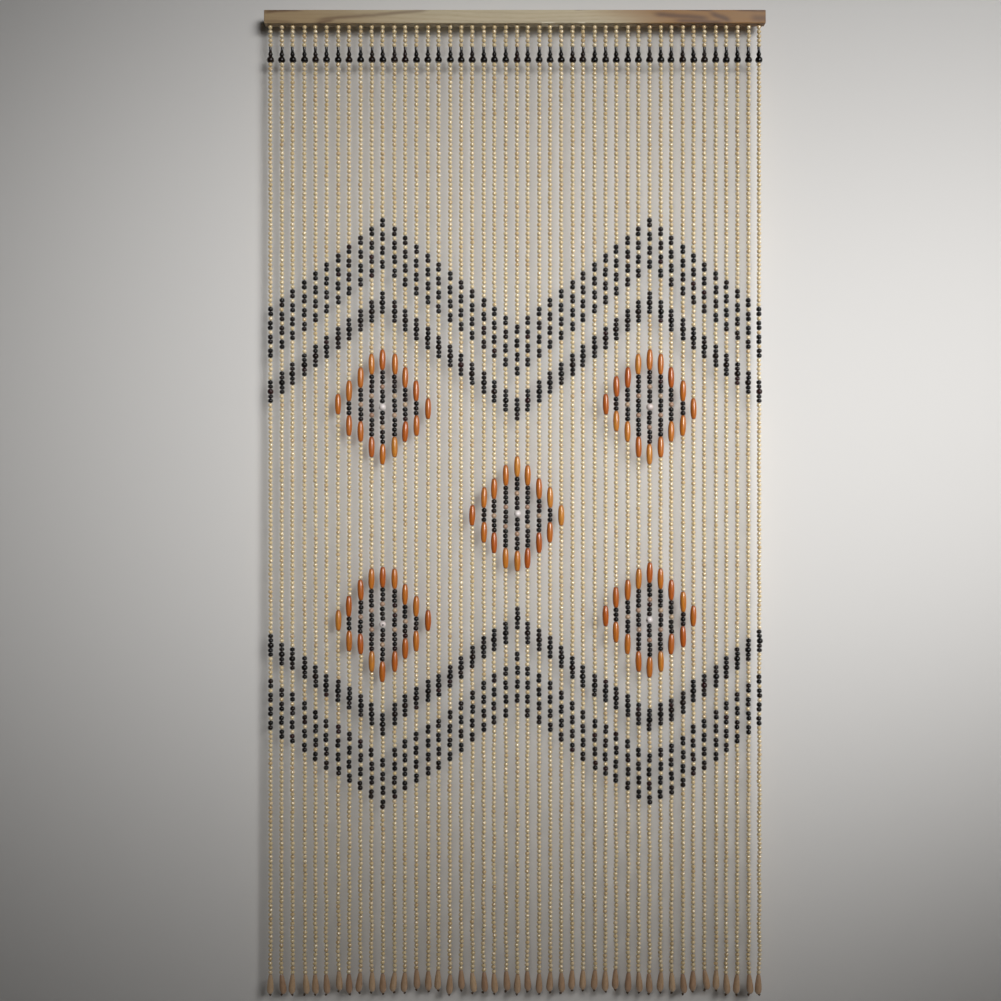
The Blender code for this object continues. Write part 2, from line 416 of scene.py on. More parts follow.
class FinishBench:
    """Builds the nodes of one finish round a Principled shader."""

    def __init__(self, name: str) -> None:
        """Start a material.

        Args:
            name: The material's name.
        """
        self.material = bpy.data.materials.new(name)
        self.material.use_nodes = True
        self.tree = self.material.node_tree
        self.shader = self.tree.nodes["Principled BSDF"]

    def feed(self, socket: bpy.types.NodeSocket, value: object) -> None:
        """Set a socket, or link it.

        Args:
            socket: The input.
            value: A Value or an output to link, or a plain number, vector or colour to set.
        """
        if isinstance(value, Value):
            self.tree.links.new(value.socket, socket)
        elif isinstance(value, bpy.types.NodeSocket):
            self.tree.links.new(value, socket)
        elif socket.type == "RGBA":
            socket.default_value = (*value, 1.0)
        else:
            socket.default_value = value

    def node(
        self, kind: str, settings: dict | None = None, sockets: dict | None = None
    ) -> bpy.types.Node:
        """Add a node.

        Args:
            kind: The node's type.
            settings: Its own settings, set first. Tones under "stops" become a ramp's stops.
            sockets: Values or links for its inputs, by name or number.

        Returns:
            The node.
        """
        node = self.tree.nodes.new(kind)
        for name, setting in (settings or {}).items():
            if name == "stops":
                self._set_stops(node.color_ramp, setting)
            else:
                setattr(node, name, setting)
        for place, value in (sockets or {}).items():
            self.feed(node.inputs[place], value)
        return node

    @staticmethod
    def _set_stops(ramp: bpy.types.ColorRamp, tones: Sequence[Tone]) -> None:
        """Replace a ramp's stops by the tones."""
        while len(ramp.elements) < len(tones):
            ramp.elements.new(1.0)
        for stop, tone in zip(ramp.elements, tones):
            stop.position = tone.place
            stop.color = (*tone.colour, 1.0)

    def noted(self, what: Noted) -> bpy.types.NodeSocket:
        """Return what the mesh notes at each point, as a vector."""
        node = self.node("ShaderNodeAttribute", {"attribute_name": what.value})
        return node.outputs["Vector"]

    def bead_notes(self) -> tuple[bpy.types.NodeSocket, bpy.types.NodeSocket, tuple[Value, ...]]:
        """Read what a bead's points note.

        Returns:
            The place in the bead, the place in a grain that is the bead's own, and its character.
        """
        place = self.noted(Noted.PLACE)
        character = self.noted(Noted.CHARACTER)
        apart = self.moved(place, self.stretched(character, GRAIN_STEP))
        return place, apart, self.split(character)

    def object_place(self) -> bpy.types.NodeSocket:
        """Return the point in the object's own frame, in metres."""
        return self.node("ShaderNodeTexCoord").outputs["Object"]

    def split(self, vector: bpy.types.NodeSocket) -> tuple[Value, Value, Value]:
        """Return a vector's three numbers."""
        node = self.node("ShaderNodeSeparateXYZ", sockets={0: vector})
        return tuple(Value(self, socket) for socket in node.outputs)

    def joined(self, x: Number, y: Number, z: Number) -> bpy.types.NodeSocket:
        """Return the vector of three numbers."""
        return self.node("ShaderNodeCombineXYZ", sockets={0: x, 1: y, 2: z}).outputs[0]

    def stretched(self, vector: bpy.types.NodeSocket, by: Point) -> bpy.types.NodeSocket:
        """Return a vector multiplied part by part."""
        node = self.node("ShaderNodeVectorMath", {"operation": "MULTIPLY"}, {0: vector, 1: by})
        return node.outputs[0]

    def moved(self, vector: bpy.types.NodeSocket, by: object) -> bpy.types.NodeSocket:
        """Return the sum of two vectors."""
        node = self.node("ShaderNodeVectorMath", {"operation": "ADD"}, {0: vector, 1: by})
        return node.outputs[0]

    def noise(self, place: bpy.types.NodeSocket, scale: float, detail: float = 2.0) -> Value:
        """Return soft noise from 0 to 1 at a place."""
        sockets = {"Vector": place, "Scale": scale, "Detail": detail}
        node = self.node("ShaderNodeTexNoise", sockets=sockets)
        return Value(self, node.outputs[0])

    def tone(self, value: Value, tones: Sequence[Tone]) -> bpy.types.NodeSocket:
        """Return the colour at a value's place along a run of tones."""
        return self.node("ShaderNodeValToRGB", {"stops": tones}, {0: value}).outputs["Color"]

    def mixed(self, share: Number, first: object, second: object) -> bpy.types.NodeSocket:
        """Mix two colours.

        Args:
            share: How much of the second colour there is.
            first: The first colour, plain or linked.
            second: The second colour, plain or linked.

        Returns:
            The mixed colour.
        """
        sockets = {0: share, 6: first, 7: second}
        return self.node("ShaderNodeMix", {"data_type": "RGBA"}, sockets).outputs[2]

    def dimmed(self, colour: object, light: Value) -> bpy.types.NodeSocket:
        """Return a colour made darker or lighter by a number round 1."""
        node = self.node("ShaderNodeVectorMath", {"operation": "SCALE"})
        self.feed(node.inputs[0], colour)
        self.feed(node.inputs["Scale"], light)
        return node.outputs[0]

    def finish(
        self, colour: object, roughness: Number, height: Value | None = None, depth: float = 0.0
    ) -> None:
        """Wire the shader.

        Args:
            colour: The base colour.
            roughness: The roughness.
            height: The relief from 0 to 1, if there is one.
            depth: How deep the relief is, in metres.
        """
        self.feed(self.shader.inputs["Base Color"], colour)
        self.feed(self.shader.inputs["Roughness"], roughness)
        if height is not None:
            sockets = {"Height": height, "Distance": depth, "Strength": 1.0}
            bump = self.node("ShaderNodeBump", sockets=sockets)
            self.feed(self.shader.inputs["Normal"], bump.outputs["Normal"])

    def lacquer(self, weight: float, roughness: float, index: float = 1.5) -> None:
        """Lay a clear coat over the whole surface, more mirror-like the higher its index is."""
        self.shader.inputs["Coat Weight"].default_value = weight
        self.shader.inputs["Coat Roughness"].default_value = roughness
        self.shader.inputs["Coat IOR"].default_value = index


# Finishes


@dataclass(frozen=True, kw_only=True)
class BeadFinish:
    """What the beads' finishes share: how rough the wood is, and the clear coat over it."""

    slot: Slot
    roughness: float = 0.40
    roughness_spread: float = 0.16
    wear_spread: float = 0.10
    coat: float = 0.25
    coat_roughness: float = 0.22
    coat_index: float = 1.5
    relief: float = 0.00003

    def complete(
        self, bench: FinishBench, colour: object, streaks: Value, wear: Value | None = None
    ) -> bpy.types.Material:
        """Wire the shader of a bead's finish.

        Args:
            bench: The finish's nodes.
            colour: The base colour.
            streaks: The grain's streaks, which are rougher and stand up a little.
            wear: How worn the bead is, from 0 to 1, where the finish has wear.

        Returns:
            The material.
        """
        roughness = self.roughness + (streaks - 0.5) * self.roughness_spread
        if wear is not None:
            roughness = roughness + (wear - 0.5) * self.wear_spread
        bench.finish(colour, roughness, streaks, self.relief)
        bench.lacquer(self.coat, self.coat_roughness, self.coat_index)
        return bench.material


@dataclass(frozen=True, kw_only=True)
class TurnedWood(BeadFinish):
    """Turned wood with its grain along the hole, each bead with a tone of its own."""

    tones: tuple[Tone, ...]
    streak_depth: float = 0.16
    figure_depth: float = 0.12
    # The hole rims are darker: partly end grain, partly painted shade where neighbouring beads meet.
    rim_grain_and_shade_depth: float = 0.30
    rim_grain_and_shade_radius: float = 2.1
    streak_scale: float = 1.5
    streak_length: float = 7.0
    figure_scale: float = 0.30

    def build(self) -> bpy.types.Material:
        """Build the material.

        Returns:
            The finish: a tone for each bead, fine streaks, a broad figure, and hole rims darkened by
                end grain and by painted shade where the beads meet.
        """
        bench = FinishBench(self.slot.value)
        place, apart, (tone, _, wear) = bench.bead_notes()
        x, y, _ = bench.split(place)
        along = bench.stretched(apart, (1.0, 1.0, 1.0 / self.streak_length))
        streaks = bench.noise(along, self.streak_scale, 3.0)
        figure = bench.noise(apart, self.figure_scale, 1.0)
        radius = (x * x + y * y).root()
        # Darker round the hole: end grain, and painted shade where neighbouring beads meet.
        rim_grain_and_shade = radius.rise(self.rim_grain_and_shade_radius, self.rim_grain_and_shade_radius * 0.45)

        light = 1.0 + (streaks - 0.5) * (2 * self.streak_depth)
        light = light + (figure - 0.5) * (2 * self.figure_depth)
        light = light * (1.0 - rim_grain_and_shade * self.rim_grain_and_shade_depth)
        colour = bench.dimmed(bench.tone(tone, self.tones), light)
        return self.complete(bench, colour, streaks, wear)


@dataclass(frozen=True, kw_only=True)
class DarkLacquer(BeadFinish):
    """Black-brown stain under gloss lacquer, which lets a little red through on some beads."""

    slot: Slot = Slot.DARK_BEAD
    black: Colour = (0.0035, 0.0022, 0.0018)
    brown: Colour = (0.0110, 0.0045, 0.0028)
    red: Colour = (0.0300, 0.0045, 0.0045)
    rub: Colour = (0.0150, 0.0080, 0.0050)
    red_from: float = 0.955
    red_to: float = 0.985
    rub_radius: float = 2.4
    streak_scale: float = 1.4
    cloud_scale: float = 0.4
    roughness: float = 0.30
    roughness_spread: float = 0.20
    wear_spread: float = 0.14
    specular: float = 0.30
    coat: float = 0.35
    coat_roughness: float = 0.12

    def build(self) -> bpy.types.Material:
        """Build the material.

        Returns:
            The finish: stain that varies from bead to bead, thin at the hole rims.
        """
        bench = FinishBench(self.slot.value)
        place, apart, (tone, turn, wear) = bench.bead_notes()
        x, y, _ = bench.split(place)
        streaks = bench.noise(bench.stretched(apart, (1.0, 1.0, 0.15)), self.streak_scale, 3.0)
        cloud = bench.noise(apart, self.cloud_scale, 1.0)
        stain = bench.mixed(tone.rise(0.45, 1.0), self.black, self.brown)
        stain = bench.mixed(turn.rise(self.red_from, self.red_to) * 0.7, stain, self.red)
        radius = (x * x + y * y).root()
        worn = radius.rise(self.rub_radius, self.rub_radius - 1.0) * streaks.rise(0.35, 0.65) * 0.7
        colour = bench.mixed(worn, stain, self.rub)
        colour = bench.dimmed(colour, 0.75 + cloud * 0.5)
        bench.shader.inputs["Specular IOR Level"].default_value = self.specular
        return self.complete(bench, colour, streaks, wear)


@dataclass(frozen=True, kw_only=True)
class AmberStain(BeadFinish):
    """Amber stain on long barrel beads, streaked along the grain and darker at both ends."""

    slot: Slot = Slot.AMBER_BEAD
    tones: tuple[Tone, ...] = (
        Tone(0.0, (0.45, 0.100, 0.012)),
        Tone(0.35, (0.50, 0.140, 0.016)),
        Tone(0.7, (0.55, 0.180, 0.020)),
        Tone(1.0, (0.60, 0.245, 0.034)),
    )
    dark: Colour = (0.16, 0.036, 0.006)
    half_length: float = 18.5
    fine_scale: float = 1.3
    broad_scale: float = 0.35
    roughness: float = 0.30
    roughness_spread: float = 0.18
    wear_spread: float = 0.08
    coat: float = 0.35
    coat_roughness: float = 0.12

    def build(self) -> bpy.types.Material:
        """Build the material.

        Returns:
            The finish: long streaks of dark and light amber, and darker ends.
        """
        bench = FinishBench(self.slot.value)
        place, apart, (tone, _, wear) = bench.bead_notes()
        _, _, z = bench.split(place)
        fine = bench.noise(bench.stretched(apart, (1.0, 1.0, 0.06)), self.fine_scale, 3.0)
        broad = bench.noise(bench.stretched(apart, (1.0, 1.0, 0.12)), self.broad_scale, 1.0)
        colour = bench.tone(tone + (broad - 0.5) * 0.7, self.tones)
        ends = abs(z).rise(self.half_length * 0.80, self.half_length)
        dark = fine.rise(0.46, 0.70) * 0.55 + ends * 0.45 + broad.rise(0.55, 0.75) * 0.15
        return self.complete(bench, bench.mixed(dark, colour, self.dark), fine, wear)


@dataclass(frozen=True)
class WoodStreak:
    """A brown streak in the rail's face, from one place to another along it.

    Each place is an x and a z, in metres. The streak is as wide as width, in metres.
    """

    start: tuple[float, float]
    end: tuple[float, float]
    width: float
    strength: float


@dataclass(frozen=True)
class PineRail:
    """Oiled pine with its grain along the rail, streaked, and browner towards the right end."""

    slot: Slot = Slot.RAIL_WOOD
    pale: Colour = (0.54, 0.455, 0.300)
    olive: Colour = (0.38, 0.268, 0.142)
    ring: Colour = (0.28, 0.180, 0.085)
    brown: Colour = (0.285, 0.130, 0.024)
    dark: Colour = (0.085, 0.030, 0.008)
    pale_patch: Colour = (0.80, 0.72, 0.55)
    brown_from: float = 0.110
    brown_to: float = 0.300
    olive_from: float = -0.120
    olive_to: float = -0.400
    streaks: tuple[WoodStreak, ...] = (
        WoodStreak(start=(-0.352, -0.0050), end=(-0.160, 0.0105), width=0.0052, strength=0.50),
        WoodStreak(start=(-0.356, -0.0110), end=(-0.326, -0.0070), width=0.0050, strength=0.60),
        WoodStreak(start=(-0.450, 0.0080), end=(-0.385, 0.0125), width=0.0055, strength=0.75),
        WoodStreak(start=(-0.452, -0.0075), end=(-0.400, -0.0100), width=0.0050, strength=0.35),
        WoodStreak(start=(0.110, 0.0110), end=(0.134, 0.0118), width=0.0022, strength=0.55),
        WoodStreak(start=(0.252, 0.0040), end=(0.345, -0.0030), width=0.0080, strength=0.80),
        WoodStreak(start=(0.290, -0.0080), end=(0.372, -0.0100), width=0.0060, strength=0.75),
        WoodStreak(start=(0.312, 0.0122), end=(0.352, 0.0118), width=0.0036, strength=0.85),
        WoodStreak(start=(0.352, 0.0060), end=(0.386, -0.0070), width=0.0085, strength=0.85),
        WoodStreak(start=(0.395, 0.0120), end=(0.455, 0.0100), width=0.0045, strength=0.70),
        WoodStreak(start=(0.425, -0.0020), end=(0.460, -0.0040), width=0.0110, strength=0.65),
    )
    pale_patch_from: float = 0.046
    pale_patch_to: float = 0.128
    pale_patch_top: float = -0.0096
    roughness: float = 0.50
    coat: float = 0.06
    coat_roughness: float = 0.30
    relief: float = 0.00010

    def _streak_mask(self, streak: WoodStreak, x: Value, z: Value, waver: Value) -> Value:
        """Work out where one streak shows.

        Args:
            streak: The streak.
            x: The place along the rail.
            z: The height.
            waver: Noise that bends the streak.

        Returns:
            A soft mask of it.
        """
        run = streak.end[0] - streak.start[0]
        climb = (streak.end[1] - streak.start[1]) / run
        line = streak.start[1] + (x - streak.start[0]) * climb + (waver - 0.5) * 0.006
        across = abs(z - line).rise(streak.width, 0.0)
        fade = min(run * 0.25, 0.012)
        starts = x.rise(streak.start[0] - fade, streak.start[0] + fade)
        ends = x.rise(streak.end[0] + fade, streak.end[0] - fade)
        return across * starts * ends * streak.strength

    def build(self) -> bpy.types.Material:
        """Build the material.

        Returns:
            The finish: growth rings along the rail, fine fibres, streaks and brown ends.
        """
        bench = FinishBench(self.slot.value)
        place = bench.object_place()
        x, y, z = bench.split(place)
        waver = bench.noise(place, 22.0)
        bend = bench.noise(bench.stretched(place, (1.0, 4.0, 4.0)), 3.0)
        fibres = bench.noise(bench.stretched(place, (0.035, 1.0, 1.0)), 1500.0, 3.0)
        rings = bench.noise(bench.joined(x * 0.9, y + bend * 0.020, z + bend * 0.024), 1.0, 0.0)
        rings = ((z + bend * 0.030 + y * 0.6) * 900.0 + rings * 6.0).sine() * 0.5 + 0.5
        cloud = bench.noise(bench.stretched(place, (1.0, 5.0, 8.0)), 9.0)

        edge = x + (z * 1.6) + (cloud - 0.5) * 0.05
        browner = edge.rise(self.brown_from, self.brown_to)
        colour = bench.mixed(edge.rise(self.olive_from, self.olive_to), self.pale, self.olive)
        colour = bench.mixed(browner * (0.88 + cloud * 0.20), colour, self.brown)
        grain = rings ** 2.0 * 0.30 + fibres.rise(0.42, 0.72) * 0.35
        colour = bench.mixed(grain * (0.50 - browner * 0.20), colour, self.ring)
        for streak in self.streaks:
            colour = bench.mixed(self._streak_mask(streak, x, z, waver), colour, self.dark)
        # A paler patch along part of the bottom front edge.
        pale_patch_mask = z.rise(self.pale_patch_top, self.pale_patch_top - 0.0012) * waver.rise(0.46, 0.56)
        pale_patch_mask = pale_patch_mask * x.rise(self.pale_patch_from, self.pale_patch_from + 0.004)
        pale_patch_mask = pale_patch_mask * x.rise(self.pale_patch_to, self.pale_patch_to - 0.004)
        colour = bench.mixed(pale_patch_mask, colour, self.pale_patch)
        colour = bench.dimmed(colour, 0.90 + cloud * 0.2)
        roughness = self.roughness + (fibres - 0.5) * 0.2
        bench.finish(colour, roughness, fibres, self.relief)
        bench.lacquer(self.coat, self.coat_roughness)
        return bench.material


@dataclass(frozen=True)
class BrownCord:
    """Twisted brown cord."""

    slot: Slot = Slot.STRING
    dark: Colour = (0.050, 0.032, 0.022)
    light: Colour = (0.150, 0.100, 0.065)
    roughness: float = 0.85
    twist_length: float = 3.2
    relief: float = 0.00020

    def build(self) -> bpy.types.Material:
        """Build the material.

        Returns:
            The finish: strands that wind round the cord. The mesh notes the way along and round it.
        """
        bench = FinishBench(self.slot.value)
        place = bench.noted(Noted.PLACE)
        along, round_it, _ = bench.split(place)
        wind = (along * (math.tau / self.twist_length) + round_it * 3.0).sine() * 0.5 + 0.5
        fuzz = bench.noise(place, 2.0, 3.0)
        colour = bench.mixed(wind * 0.7 + fuzz * 0.3, self.dark, self.light)
        bench.finish(colour, self.roughness, wind, self.relief)
        return bench.material


@dataclass(frozen=True, kw_only=True)
class EyedWood(BeadFinish):
    """Bleached wood with one dark drilled eye, a little grain and a satin lacquer."""

    slot: Slot = Slot.WHITE_BEAD
    tones: tuple[Tone, ...] = (
        Tone(0.0, (0.66, 0.55, 0.50)),
        Tone(0.5, (0.72, 0.63, 0.60)),
        Tone(1.0, (0.76, 0.70, 0.67)),
    )
    eye: Colour = (0.012, 0.009, 0.008)
    eye_radius: float = 1.60
    eye_below: float = 0.8
    roughness: float = 0.36
    roughness_spread: float = 0.14
    coat: float = 0.30
    coat_roughness: float = 0.20

    def build(self) -> bpy.types.Material:
        """Build the material.

        Returns:
            The finish: pale wood, and a dark round eye where the bead's own -Y axis comes out.
        """
        bench = FinishBench(self.slot.value)
        place, apart, (tone, _, _) = bench.bead_notes()
        x, y, z = bench.split(place)
        streaks = bench.noise(bench.stretched(apart, (1.0, 1.0, 0.15)), 1.0, 3.0)
        colour = bench.dimmed(bench.tone(tone, self.tones), 0.88 + streaks * 0.24)
        below = z + self.eye_below
        from_axis = (x * x + below * below).root()
        eye = from_axis.rise(self.eye_radius + 0.2, self.eye_radius - 0.15) * y.rise(-1.0, -2.0)
        return self.complete(bench, bench.mixed(eye, colour, self.eye), streaks)


NATURAL_WOOD = TurnedWood(
    slot=Slot.NATURAL_BEAD,
    tones=(
        Tone(0.0, (0.65, 0.455, 0.225)),
        Tone(0.15, (0.71, 0.535, 0.275)),
        Tone(0.40, (0.75, 0.585, 0.320)),
        Tone(0.65, (0.77, 0.610, 0.340)),
        Tone(0.85, (0.79, 0.605, 0.355)),
        Tone(1.0, (0.81, 0.660, 0.400)),
    ),
    # Deep hole rims: end grain and painted shade between the beads.
    rim_grain_and_shade_depth=0.62,
    rim_grain_and_shade_radius=2.8,
    roughness=0.34,
    coat=1.0,
    coat_roughness=0.11,
    coat_index=2.0,
)

TAN_WOOD = TurnedWood(
    slot=Slot.TAN_BEAD,
    tones=(
        Tone(0.0, (0.32, 0.185, 0.115)),
        Tone(0.5, (0.41, 0.265, 0.175)),
        Tone(1.0, (0.50, 0.365, 0.230)),
    ),
    rim_grain_and_shade_radius=2.6,
    figure_depth=0.18,
)

DROP_WOOD = TurnedWood(
    slot=Slot.NATURAL_BEAD,
    tones=(
        Tone(0.0, (0.44, 0.262, 0.155)),
        Tone(0.5, (0.53, 0.338, 0.200)),
        Tone(1.0, (0.62, 0.425, 0.255)),
    ),
    streak_depth=0.22,
    figure_depth=0.16,
    # Deep hole rims: end grain and painted shade between the drop and its neighbours.
    rim_grain_and_shade_depth=0.55,
    rim_grain_and_shade_radius=2.6,
    roughness=0.30,
    coat=1.0,
    coat_roughness=0.08,
    coat_index=2.1,
    streak_scale=1.1,
    streak_length=14.0,
    figure_scale=0.16,
)


# Meshes


@dataclass(frozen=True)
class Outline:
    """A turned outline from its top to its bottom, as radii and heights above its middle."""

    radii: np.ndarray
    heights: np.ndarray

    @classmethod
    def ball(
        cls, length: float, width: float, end_width: float, bands: int, fullness: float = 1.0
    ) -> "Outline":
        """Draw a ball that is cut flat at both ends of its hole.

        Args:
            length: The ball's length along its hole.
            width: Its width.
            end_width: The width of its flat ends.
            bands: How many bands of faces it has.
            fullness: 1 for a round ball, less for one with fuller shoulders.

        Returns:
            The outline.
        """
        end_angle = math.acos((end_width / width) ** (1 / fullness))
        angles = np.linspace(end_angle, -end_angle, bands + 1)
        rises = np.sign(angles) * (np.abs(np.sin(angles)) / math.sin(end_angle)) ** fullness
        return cls(width / 2 * np.cos(angles) ** fullness, length / 2 * rises)

    @classmethod
    def smooth(cls, length: float, turns: Sequence[Turn], hole: float, steps: int = 2) -> "Outline":
        """Draw a smooth line through a lathe's turns, closed towards the hole at both ends.

        Args:
            length: The piece's length along its hole.
            turns: The places where the outline turns.
            hole: The hole's width.
            steps: How many bands of faces lie between two turns.

        Returns:
            The outline.
        """
        points = np.array(turns)
        before = np.vstack([2 * points[0] - points[1], points[:-1]])
        after = np.vstack([points[1:], 2 * points[-1] - points[-2]])
        slopes = (after - before) / 2
        line = []
        for number in range(len(points) - 1):
            for step in range(steps):
                t = step / steps
                line.append(
                    points[number] * (2 * t**3 - 3 * t**2 + 1)
                    + slopes[number] * (t**3 - 2 * t**2 + t)
                    + points[number + 1] * (3 * t**2 - 2 * t**3)
                    + slopes[number + 1] * (t**3 - t**2)
                )
        line.append(points[-1])
        closed = np.array([(0.0, hole), *line, (1.0, hole)])
        return cls(closed[:, 1] / 2, (0.5 - closed[:, 0]) * length)

    def hung(self) -> "Outline":
        """Return the outline with its heights measured from its top."""
        return Outline(self.radii, self.heights - self.heights[0])


@dataclass(frozen=True)
class Template:
    """A shape to copy: its points, its four-sided faces, and their flat layout from 0 to 1."""

    points: np.ndarray
    faces: np.ndarray
    layout: np.ndarray

    @classmethod
    def turned(cls, outline: Outline, segments: int) -> "Template":
        """Spin an outline round the Z axis.

        Args:
            outline: The outline from top to bottom.
            segments: How many faces go round.

        Returns:
            The shape, laid out as a band that goes once round it.
        """
        angles = np.linspace(0.0, math.tau, segments, endpoint=False)
        ring = np.stack([np.cos(angles), np.sin(angles)], 1)
        flat = outline.radii[:, None, None] * ring[None]
        heights = np.broadcast_to(outline.heights[:, None, None], (*flat.shape[:2], 1))
        points = np.concatenate([flat, heights], 2).reshape(-1, 3)
        steps = np.hypot(np.diff(outline.radii), np.diff(outline.heights))
        down = np.concatenate([[0.0], np.cumsum(steps)]) / steps.sum()
        return cls(points, *grid_faces(len(outline.radii), segments, down))


def grid_faces(rings: int, segments: int, down: np.ndarray) -> tuple[np.ndarray, np.ndarray]:
    """Lay faces between closed rings of points.

    Args:
        rings: How many rings there are.
        segments: How many points each ring has.
        down: How far along the shape each ring is, from 0 to 1.

    Returns:
        The faces, and the place of each of their corners in the flat layout.
    """
    ring, side = np.meshgrid(np.arange(rings - 1), np.arange(segments), indexing="ij")
    ring = ring.ravel()
    side = side.ravel()
    after = (side + 1) % segments
    upper = ring * segments
    lower = upper + segments
    faces = np.stack([upper + side, lower + side, lower + after, upper + after], 1)
    across = np.stack([side, side, side + 1, side + 1], 1) / segments
    along = 1.0 - np.stack([down[ring], down[ring + 1], down[ring + 1], down[ring]], 1)
    return faces, np.stack([across, along], 2)


@dataclass(frozen=True)
class Cell:
    """The cells of a flat layout, one for each copy of a shape: columns, rows and a margin."""

    columns: int
    rows: int
    margin: float = 0.04

    @classmethod
    def for_copies(cls, copies: int, aspect: float) -> "Cell":
        """Return a layout with room for the copies, whose cells are that much wider than high."""
        columns = max(1, round(math.sqrt(copies / aspect)))
        return cls(columns, math.ceil(copies / columns))

    def lay(self, layout: np.ndarray, numbers: np.ndarray) -> np.ndarray:
        """Put a shape's flat layout into its cells.

        Args:
            layout: The layout of one copy, from 0 to 1.
            numbers: The copies' numbers.

        Returns:
            The layout of each copy.
        """
        corner = np.stack([numbers % self.columns, numbers // self.columns], 1)
        inner = self.margin / 2 + layout * (1.0 - self.margin)
        size = np.array([self.columns, self.rows])
        return (corner[:, None, None, :] + inner[None]) / size


class MeshStock:
    """Gathers copies of shapes into one mesh, with what their finish reads.

    Each point notes its place in its own shape, in millimetres, and its shape's character: three
    numbers from 0 to 1 that set the shape's tone, its turn and its wear apart from its neighbours'.
    """

    def __init__(self, cell: Cell) -> None:
        """Start an empty stock.

        Args:
            cell: The cells of the mesh's flat layout.
        """
        self.cell = cell
        self.copies = 0
        self.points: list[np.ndarray] = []
        self.faces: list[np.ndarray] = []
        self.layouts: list[np.ndarray] = []
        self.places: list[np.ndarray] = []
        self.characters: list[np.ndarray] = []
        self.size = 0

    def add(
        self, points: np.ndarray, template: Template, places: np.ndarray, characters: np.ndarray
    ) -> None:
        """Add copies of a shape.

        Args:
            points: The points of each copy where it stands, as (copies, points, 3).
            template: The shape that they are copies of.
            places: What each point notes as its place, as (copies, points, 3).
            characters: Each copy's character, as (copies, 3).
        """
        copies, count, _ = points.shape
        starts = self.size + np.arange(copies) * count
        self.points.append(points.reshape(-1, 3))
        self.faces.append((template.faces[None] + starts[:, None, None]).reshape(-1, 4))
        numbers = self.copies + np.arange(copies)
        self.layouts.append(self.cell.lay(template.layout, numbers).reshape(-1, 2))
        self.places.append(places.reshape(-1, 3))
        self.characters.append(np.repeat(characters, count, 0))
        self.copies += copies
        self.size += copies * count

    def to_object(
        self, name: str, material: bpy.types.Material, sharp: float | None = None
    ) -> bpy.types.Object:
        """Make the piece.

        Args:
            name: The piece's name.
            material: Its finish.
            sharp: The angle in degrees from which an edge stays sharp, or None for all smooth.

        Returns:
            The object, linked to the scene.
        """
        mesh = bpy.data.meshes.new(name)
        points = np.concatenate(self.points).tolist()
        mesh.from_pydata(points, [], np.concatenate(self.faces).tolist())
        layout = mesh.uv_layers.new(name="OFBake")
        layout.data.foreach_set("uv", np.concatenate(self.layouts).astype(np.float32).ravel())
        for noted, values in ((Noted.PLACE, self.places), (Noted.CHARACTER, self.characters)):
            attribute = mesh.attributes.new(noted.value, "FLOAT_VECTOR", "POINT")
            attribute.data.foreach_set("vector", np.concatenate(values).astype(np.float32).ravel())
        mesh.shade_smooth()
        if sharp is not None:
            mesh.set_sharp_from_angle(angle=math.radians(sharp))
        mesh.materials.append(material)
        piece = bpy.data.objects.new(name, mesh)
        bpy.context.scene.collection.objects.link(piece)
        return piece


def turned_about(lean: np.ndarray, nod: np.ndarray, spin: np.ndarray) -> np.ndarray:
    """Work out rotations.

    Args:
        lean: Turns about Y, to the left and right as seen from the front, in radians.
        nod: Turns about X, towards the front and back.
        spin: Turns about Z, which come first.

    Returns:
        A rotation matrix for each row.
    """
    zero = np.zeros_like(lean)
    one = np.ones_like(lean)
    about_y = np.stack(
        [np.cos(lean), zero, np.sin(lean), zero, one, zero, -np.sin(lean), zero, np.cos(lean)], 1
    )
    about_x = np.stack(
        [one, zero, zero, zero, np.cos(nod), -np.sin(nod), zero, np.sin(nod), np.cos(nod)], 1
    )
    about_z = np.stack(
        [np.cos(spin), -np.sin(spin), zero, np.sin(spin), np.cos(spin), zero, zero, zero, one], 1
    )
    shape = (-1, 3, 3)
    return about_y.reshape(shape) @ about_x.reshape(shape) @ about_z.reshape(shape)


# Sub-assemblies


